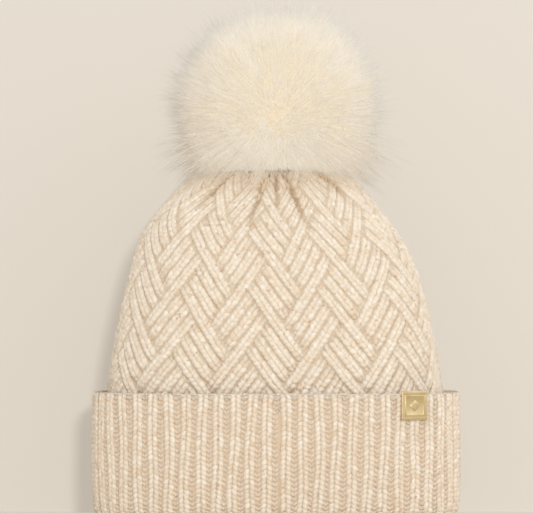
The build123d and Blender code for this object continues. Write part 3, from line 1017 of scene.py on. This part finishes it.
def bar(start, end, bow, steps=9):
    """A short stitch between two points, bowed to one side."""
    v = np.linspace(0, 1, steps)[:, None]
    start, end, bow = (np.array(p, float) for p in (start, end, bow))
    return start + (end - start) * v + bow * np.sin(v * pi)


def gather_ring():
    """The drawn-up ring of yarn in the crown's dish."""
    line = round_line(12.5, 206.4)
    line[:, 2] += 0.25 * np.sin(np.arange(len(line)) / len(line) * tau * 9)
    return plied("crown_gather_yarn", [line], 1.3, closed=True, plies=3, twist=7.0)


def seam_chain():
    """The closing seam up the middle of the back, a column of slanted stitches."""
    t = np.arange(CAP.t_at(CUFF_TOP + 3.5), CAP.t_at(205), 2.7)
    count = len(t)
    placed = []
    for side in (-1, 1):
        jitter = rng.normal(0, 1, (3, count))
        size = (0.72, 0.75, 1.75 * (1 + 0.05 * jitter[0]))
        s = CAP.round / 2 + side * 0.62 + 0.08 * jitter[1]
        heading = pi / 2 + side * 0.42
        placed.append(lay_stitches(CAP, s, t + side * 0.3, heading, size, 0.05, dip=0.4))
    placed = np.concatenate(placed)
    tone = rng.uniform(0.3, 0.7, len(placed))
    return knit_piece("back_seam_yarn", placed, tone, np.zeros(len(placed)))


def cuff_tacks():
    """Pairs of yarn bars that hold the cuff turned up, at both sides and at the back seam."""
    half, under, bow = 1.7, 6.0, (0, 0, 0.35)
    bars = []
    for z in (69.5, 73.0):
        for side in (-1, 1):
            x = side * (CUFF_WIDTH - under - half)
            bars.append(bar((x - half, 0, z - 0.3), (x + half, 0, z + 0.3), bow))
        y = CUFF_WIDTH - DEPTH_STEP - under - half
        bars.append(bar((0, y - half, z - 0.3), (0, y + half, z + 0.3), bow))
    return plied("cuff_tack_stitches", bars, 0.8, twist=3.0)


# ---- fleece lining ----

# height, half width and half depth of the lining, from its hem to the middle of its top
LINING_ROWS = (
    (14.0, 99.6, 57.6),
    (30.0, 99.1, 57.1),
    (50.0, 98.0, 56.0),
    (66.0, 97.5, 55.5),
    (84.0, 96.5, 56.0),
    (109.0, 92.5, 55.0),
    (133.0, 87.5, 53.5),
    (158.0, 80.0, 50.5),
    (176.0, 71.5, 47.0),
    (188.0, 62.4, 41.6),
    (194.2, 55.6, 37.6),
    (195.3, 48.0, 32.5),
    (195.4, 30.0, 20.0),
    (195.4, 12.0, 8.0),
)
LINING = Wall(LINING_ROWS, side=-1)


def lining_gore(name, quarter):
    """A quarter of the lining: two thick faces of pile joined along a rolled edge, with a flat seam."""
    across, along = 56, 96
    u = np.linspace(0, 1, across + 1)
    v = np.linspace(0, 1, along + 1)
    s0, s1 = quarter * LINING.round / 4, (quarter + 1) * LINING.round / 4
    uu, vv = np.meshgrid(u, v, indexing="ij")
    s = s0 + uu * (s1 - s0)
    t = 0.4 + vv * (LINING.total - 0.8)
    flat = LINING.flat(np.clip(s, s0 + 0.25, s1 - 0.25), t)
    n = LINING.normal(s, t)
    inward = np.array((0, 0, 150.0)) - flat
    n *= np.sign((n * inward).sum(-1, keepdims=True))
    edge = np.minimum(np.minimum(uu, 1 - uu) * (s1 - s0) / 3.0, vv * LINING.total / 2.5)
    plump = np.clip(edge, 0, 1) ** 0.5
    clumps = 0.22 * np.sin(s * 1.9 + 2 * np.sin(t * 0.9)) * np.sin(t * 2.1 + 1.5 * np.sin(s * 0.8))
    inner = flat + n * (0.95 + (0.55 + clumps)[..., None] * plump[..., None])
    outer = flat + n * (0.75 - 0.55 * plump)[..., None]
    grid = (across + 1) * (along + 1)
    i, j = np.meshgrid(np.arange(across), np.arange(along), indexing="ij")
    a = i * (along + 1) + j
    b = a + along + 1
    quads = np.stack([a, b, b + 1, a + 1], -1).reshape(-1, 4)
    faces = [quads, quads[:, ::-1] + grid]
    rim = [(k, k + 1) for k in range(along)]
    rim += [(across * (along + 1) + k + 1, across * (along + 1) + k) for k in range(along)]
    rim += [((k + 1) * (along + 1), k * (along + 1)) for k in range(across)]
    rim += [(k * (along + 1) + along, (k + 1) * (along + 1) + along) for k in range(across)]
    rim = np.array(rim)
    faces.append(np.stack([rim[:, 0], rim[:, 1], rim[:, 1] + grid, rim[:, 0] + grid], -1))
    faces = np.concatenate(faces)
    points = np.concatenate([inner.reshape(-1, 3), outer.reshape(-1, 3)])
    ob = new_piece(name, points, faces.ravel(), np.full(len(faces), 4))
    outward_faces(ob)
    return ob


def hem_stitches():
    """Slanted tacks round the lining's hem."""
    count = 44
    turns = (np.arange(count) + 0.5) / count * tau
    s = np.interp(turns, np.linspace(0, tau, len(LINING.ring_s)), LINING.ring_s)
    bars = []
    for place in s:
        start = LINING.at(np.array([place - 1.5]), np.array([4.3]), np.array([-2.7]))[0]
        end = LINING.at(np.array([place + 1.5]), np.array([3.7]), np.array([-2.7]))[0]
        out = LINING.normal(np.array([place]), np.array([4.0]))[0]
        bars.append(bar(start, end, -0.3 * out))
    return plied("lining_hem_stitches", bars, 0.34, twist=1.6)


# ---- labels ----

def cloth_strip(name, width, height, thick, place, droop=0.0):
    """A label: a thin closed sheet with rolled selvedges and a slight wave, its place at its top middle."""
    deselect_all()
    bpy.ops.mesh.primitive_grid_add(x_subdivisions=36, y_subdivisions=48, size=1.0)
    ob = bpy.context.object
    ob.name = ob.data.name = name
    mesh = ob.data
    flat = np.array([v.co[:] for v in mesh.vertices])
    across, down = flat[:, 0], 0.5 - flat[:, 1]
    x = across * width
    z = -down * height
    edge = np.minimum(0.5 - np.abs(across), np.minimum(down, 1 - down) * height / width) * width
    wave = droop * (np.sin(down * 4.2 + across * 1.3) * down + 0.5 * across**2 * down)
    y = wave - 0.06 * np.exp(-((edge - 0.7) / 0.4) ** 2)
    spot = np.stack([x, y, z], -1) + np.array(place)
    mesh.vertices.foreach_set("co", (spot * MM).astype(np.float32).ravel())
    solid = ob.modifiers.new("thickness", "SOLIDIFY")
    solid.thickness = thick * MM
    solid.offset = 0.0
    bpy.ops.object.modifier_apply(modifier=solid.name)
    bpy.ops.object.shade_smooth_by_angle(angle=radians(50))
    outward_faces(ob)
    return ob


def label_tacks():
    """Three tacks up each end of the woven label."""
    bars = []
    for side in (-1, 1):
        for step in range(3):
            x, z = side * 16.5, 70 + 14 * (step + 0.5) / 3
            bars.append(bar((x, 52.8, z - 1.4), (x, 52.8, z + 1.4), (0, -0.12, 0)))
    return plied("label_stitches", bars, 0.2, twist=1.2)


# ---- metal tag ----

TAG_SIZE = (17.0, 17.7)
TAG_THICK = 1.1
TAG_RIGHT = 83.0          # of the hat's middle
TAG_HEIGHT = 70.2         # of its middle, over the ground
TAG_GAP = 0.15            # between its back and the cuff's cloth


def tag_matrix():
    """The plane of the cuff's face at the tag, in mm, looking outwards."""
    x, a, b = TAG_RIGHT, CUFF_WIDTH, CUFF_WIDTH - DEPTH_STEP
    y = -b * (1 - (x / a) ** SQUARENESS) ** (1 / SQUARENESS)
    n = Vector(((x / a) ** (SQUARENESS - 1) / a, -((-y / b) ** (SQUARENESS - 1)) / b, 0)).normalized()
    up = Vector((0, 0, 1))
    plane = Matrix((up.cross(n), up, n)).transposed().to_4x4()
    plane.translation = Vector((x, y, TAG_HEIGHT)) + n * TAG_GAP
    return plane


def add_block(size, middle):
    """A box of a size about a middle point, selected and ready to shape."""
    deselect_all()
    bpy.ops.mesh.primitive_cube_add(size=1.0)
    ob = bpy.context.object
    for vertex in ob.data.vertices:
        vertex.co = Vector([c * s + m for c, s, m in zip(vertex.co, size, middle)])
    return ob


def rounded(ob, width, segments=3):
    """Rounds a block's sharp edges."""
    bevel = ob.modifiers.new("bevel", "BEVEL")
    bevel.width = width
    bevel.segments = segments
    bevel.limit_method = "ANGLE"
    bevel.angle_limit = radians(30)
    pick(ob)
    bpy.ops.object.modifier_apply(modifier=bevel.name)


def select_top(ob, margin=0.05):
    """Only the faces that look up on a block, in face mode."""
    bpy.context.view_layer.objects.active = ob
    bpy.ops.object.mode_set(mode="EDIT")
    bpy.ops.mesh.select_mode(type="FACE")
    bpy.ops.mesh.select_all(action="DESELECT")
    bpy.ops.object.mode_set(mode="OBJECT")
    highest = max(v.co.z for v in ob.data.vertices)
    for face in ob.data.polygons:
        face.select = face.normal.z > 0.9 and abs(face.center.z - highest) < margin
    bpy.ops.object.mode_set(mode="EDIT")


def tag_plate():
    """The gold tag: turned-over bands at top and bottom, a raised frame, a diamond and two legs."""
    width, height = TAG_SIZE
    plate = add_block((width, height, TAG_THICK), (0, 0, TAG_THICK / 2))
    bpy.ops.object.mode_set(mode="EDIT")
    bpy.ops.mesh.select_all(action="DESELECT")
    bpy.ops.mesh.select_mode(type="EDGE")
    bpy.ops.object.mode_set(mode="OBJECT")
    for edge in plate.data.edges:
        a, b = (plate.data.vertices[k].co for k in edge.vertices)
        edge.select = abs(a.z - b.z) > 0.5
    bpy.ops.object.mode_set(mode="EDIT")
    bpy.ops.mesh.bevel(offset=1.0, segments=4)
    bpy.ops.object.mode_set(mode="OBJECT")
    rounded(plate, 0.22)
    parts = [plate]
    for side in (-1, 1):
        band = add_block((width - 0.7, 1.7, 0.34), (0, side * (height / 2 - 1.35), TAG_THICK + 0.1))
        rounded(band, 0.12)
        parts.append(band)
    frame_block = add_block((12.6, 12.6, 0.5), (0, 0, TAG_THICK + 0.15))
    select_top(frame_block)
    bpy.ops.mesh.inset(thickness=0.75, depth=0.0)
    bpy.ops.mesh.extrude_region_move(TRANSFORM_OT_translate={"value": (0, 0, -0.32)})
    bpy.ops.object.mode_set(mode="OBJECT")
    rounded(frame_block, 0.09, 2)
    parts.append(frame_block)
    diamond = add_block((5.0, 5.0, 0.5), (0, 0, TAG_THICK + 0.15))
    diamond.data.transform(Matrix.Rotation(radians(45), 4, "Z"))
    select_top(diamond)
    bpy.ops.mesh.inset(thickness=1.5, depth=0.0)
    bpy.ops.transform.translate(value=(0, 0, 0.12))
    bpy.ops.object.mode_set(mode="OBJECT")
    rounded(diamond, 0.07, 2)
    parts.append(diamond)
    for side in (-1, 1):
        leg = add_block((0.6, 2.4, 8.4), (side * 4.5, 0, -4.1))
        rounded(leg, 0.12, 2)
        parts.append(leg)
    deselect_all()
    for part in parts:
        part.select_set(True)
    bpy.context.view_layer.objects.active = plate
    bpy.ops.object.join()
    plate.name = plate.data.name = "tag_plate_gold"
    plate.data.transform(Matrix.Scale(MM, 4) @ tag_matrix())
    bpy.ops.object.shade_smooth_by_angle(angle=radians(35))
    return plate


# ---- stray fibres on the knit ----

def stray_fibres(name, wall, count, low, high):
    """Loose ends of fibre that stand off a knitted wall."""
    s = rng.uniform(0, wall.round, count)
    t = rng.uniform(low, high, count)
    base = wall.at(s, t, rng.uniform(-1.6, -0.4, count))
    n = wall.normal(s, t)
    along = unit(rng.normal(0, 1, (count, 3)))
    along = unit(along - (along * n).sum(-1, keepdims=True) * n)
    long = rng.gamma(3.0, 0.62, count)[:, None, None]
    v = np.linspace(0, 1, 4)[None, :, None]
    rise = rng.uniform(0.1, 0.85, count)[:, None, None]
    curl = unit(rng.normal(0, 1, (count, 3)))[:, None]
    off = rise * n[:, None] * np.sin(v * 2.2) * 0.6
    line = base[:, None] + long * (v * along[:, None] + off + 0.3 * curl * v**2)
    tone = rng.uniform(0.3, 1, count)
    return strand_mesh(name, line, np.full(count, 0.055), tone, np.zeros(count))


# ---- put the hat together ----

for piece in knit_cap():
    finish_piece(piece, "hat", "body_knit", BODY_YARN, "knit_crown")
    piece.visible_diffuse = False
finish_piece(cap_base(), "hat", "body_knit", CLOTH, "knit_crown")
for piece in rib_stitches():
    finish_piece(piece, "hat", "rib_knit", RIB_YARN, "ribbed_cuff")
    piece.visible_diffuse = False
finish_piece(cuff_base(), "hat", "rib_knit", CLOTH, "ribbed_cuff")
finish_piece(cast_on_edge(), "hat", "rib_knit", RIB_YARN, "ribbed_cuff")
finish_piece(gather_ring(), "hat", "yarn", BODY_YARN, "crown_gather_yarn")
finish_piece(seam_chain(), "hat", "yarn", BODY_YARN, "back_seam_yarn")
finish_piece(cuff_tacks(), "hat", "yarn", RIB_YARN, "cuff_tack_stitches")
finish_piece(stray_fibres("cap_stray_fibres", CAP, 4600, 8, CAP.total - 30), "hat", "body_knit", BODY_YARN)
cuff_foot = CUFF.length[np.argmax((CUFF.rows[:, 0] < 8) & (CUFF.rows[:, 1] > 105))]
finish_piece(stray_fibres("cuff_stray_fibres", CUFF, 3000, 4, cuff_foot), "hat", "rib_knit", RIB_YARN)

for quarter, corner in enumerate(CORNERS):
    gore = lining_gore("lining_fleece_" + corner, quarter)
    finish_piece(gore, "hat", "fleece", FLEECE, "lining_gore_" + corner)
finish_piece(hem_stitches(), "hat", "sewing_thread", THREAD, "lining_hem_stitches")

sewn_label = cloth_strip("woven_label_cloth", 36.0, 14.0, 0.42, (0, 53.22, 84.0))
finish_piece(sewn_label, "hat", "woven_label", WOVEN, "woven_label")
finish_piece(label_tacks(), "hat", "sewing_thread", THREAD, "label_stitches")
care = cloth_strip("care_label_satin", 22.0, 34.0, 0.3, (0, 53.1, 62.0), droop=0.12)
finish_piece(care, "label", "satin_label", SATIN, "care_label")

finish_piece(tag_plate(), "hat", "gold_metal", GOLD, "tag_plate")

for piece in pom_pieces():
    finish_piece(piece, "pom", "fur", FUR, "pom_fur")
    piece.visible_shadow = piece.visible_diffuse = False
ball = round_ball("pom_underfur", underfur_shape)
finish_piece(ball, "pom", "fur", UNDERFUR, "pom_fur")
filling = round_ball("pom_filling", filling_shape)
finish_piece(filling, "pom", "stuffing", STUFFING, "pom_stuffing")
gather = plied("pom_gather_thread_plied", [round_line(15.65, 212.2)], 0.58, closed=True, plies=3, twist=3.5)
finish_piece(gather, "pom", "sewing_thread", THREAD, "pom_gather_thread")

# the exact parts that are drawn as they are
CAD_FINISHES = {
    "tag_backing_plate": STEEL,
    "crown_patch": FELT,
    "socket_rivet_cap": SNAP_METAL,
    "snap_socket": SNAP_METAL,
    "snap_spring": STEEL,
    "snap_stud": SNAP_METAL,
    "stud_rivet_cap": SNAP_METAL,
    "pom_base_disc": FELT,
}
for ob in bpy.context.scene.objects:
    if ob.get("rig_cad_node") in CAD_FINISHES:
        for place in ob.material_slots:
            place.material = CAD_FINISHES[ob["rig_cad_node"]]


# ---- floor, light and camera, in metres ----

BACKDROP_DEPTH = 0.105    # from the hat's middle back to the backdrop
HAT_MIDDLE = (0, 0, 0.15)
POM_FOOT = (0, 0, 0.2)


def matt(name, hex_code):
    """A matt material with the faintest drift of shade."""
    material, tree, shader = principled(name)
    grain = noise_at(tree, object_place(tree), 14.0, 3.0, (-700, 0))
    shade = tuple(c * 0.985 for c in colour(hex_code)[:3]) + (1.0,)
    drift = blend(tree, grain, shade, hex_code, (-300, 200))
    feed_all(tree, shader, {"Base Color": drift, "Roughness": 0.9, "Specular IOR Level": 0.1})
    return material, tree, shader


def see_through(material, shader, hidden):
    """Clears a material where the hidden value is 1."""
    tree = material.node_tree
    clear = node(tree, "ShaderNodeBsdfTransparent", (200, -300))
    mix = node(tree, "ShaderNodeMixShader", (500, 200))
    feed(tree, mix.inputs["Fac"], hidden)
    feed(tree, mix.inputs[1], shader.outputs["BSDF"])
    feed(tree, mix.inputs[2], clear.outputs["BSDF"])
    feed(tree, tree.nodes["Material Output"].inputs["Surface"], mix.outputs["Shader"])


def pale_floor():
    """The ground, which a camera under it sees through."""
    deselect_all()
    bpy.ops.mesh.primitive_plane_add(size=12.0, location=(0, 0, -0.0005))
    ob = bpy.context.object
    ob.name = "floor"
    material, tree, shader = matt("pale floor", "E6DED2")
    see_through(material, shader, node(tree, "ShaderNodeNewGeometry", (0, 400)).outputs["Backfacing"])
    ob.data.materials.append(material)


def pale_wall():
    """A backdrop close behind the hat, which a camera behind it or along it sees through."""
    deselect_all()
    place = (0, BACKDROP_DEPTH, 0.9)
    bpy.ops.mesh.primitive_plane_add(size=3.0, location=place, rotation=(pi / 2, 0, 0))
    ob = bpy.context.object
    ob.name = "backdrop"
    material, tree, shader = matt("pale backdrop", "BCB8B0")
    back = node(tree, "ShaderNodeNewGeometry", (0, 400)).outputs["Backfacing"]
    glance = node(tree, "ShaderNodeLayerWeight", (-200, 600)).outputs["Facing"]
    skimmed = spread(tree, glance, 0.7, 0.85, (0, 600))
    see_through(material, shader, sums(tree, "MAXIMUM", back, skimmed, (250, 500)))
    feed_all(tree, shader, {"Emission Color": "DED9D1", "Emission Strength": 0.32})
    ob.data.materials.append(material)
    ob.visible_diffuse = ob.visible_glossy = ob.visible_shadow = False


def area_light(name, place, aim, size, watts, tint):
    """A square lamp at a place, turned to what it lights."""
    data = bpy.data.lights.new(name, "AREA")
    data.shape = "SQUARE"
    data.size = size
    data.energy = watts
    data.color = colour(tint)[:3]
    ob = bpy.data.objects.new(name, data)
    bpy.context.scene.collection.objects.link(ob)
    ob.location = place
    ob.rotation_euler = (Vector(aim) - Vector(place)).to_track_quat("-Z", "Y").to_euler()


pale_floor()
pale_wall()
area_light("key", (0.14, -2.3, 0.46), HAT_MIDDLE, 0.15, 21.0, "FFFBF8")
area_light("side", (1.5, -0.9, 1.0), HAT_MIDDLE, 1.2, 4.0, "FFFDFB")
area_light("back", (0.4, 1.4, 1.3), POM_FOOT, 1.0, 3.5, "FFFBF7")

world = bpy.data.worlds.new("soft room")
bpy.context.scene.world = world
world.use_nodes = True
sky = world.node_tree.nodes["Background"]
feed_all(world.node_tree, sky, {"Color": "FFFDFA", "Strength": 0.72})

CAMERA_RANGE = 4.0
FRAME_WIDTH = 0.326       # what the camera takes in, at the hat's middle
lens = bpy.data.cameras.new("camera")
lens.lens = 36.0 * CAMERA_RANGE / FRAME_WIDTH
camera = bpy.data.objects.new("camera", lens)
camera.location = (-0.0058, -CAMERA_RANGE, 0.160)
camera.rotation_euler = (pi / 2, 0, 0)
bpy.context.scene.collection.objects.link(camera)
bpy.context.scene.camera = camera
bpy.context.scene.view_settings.view_transform = "Standard"
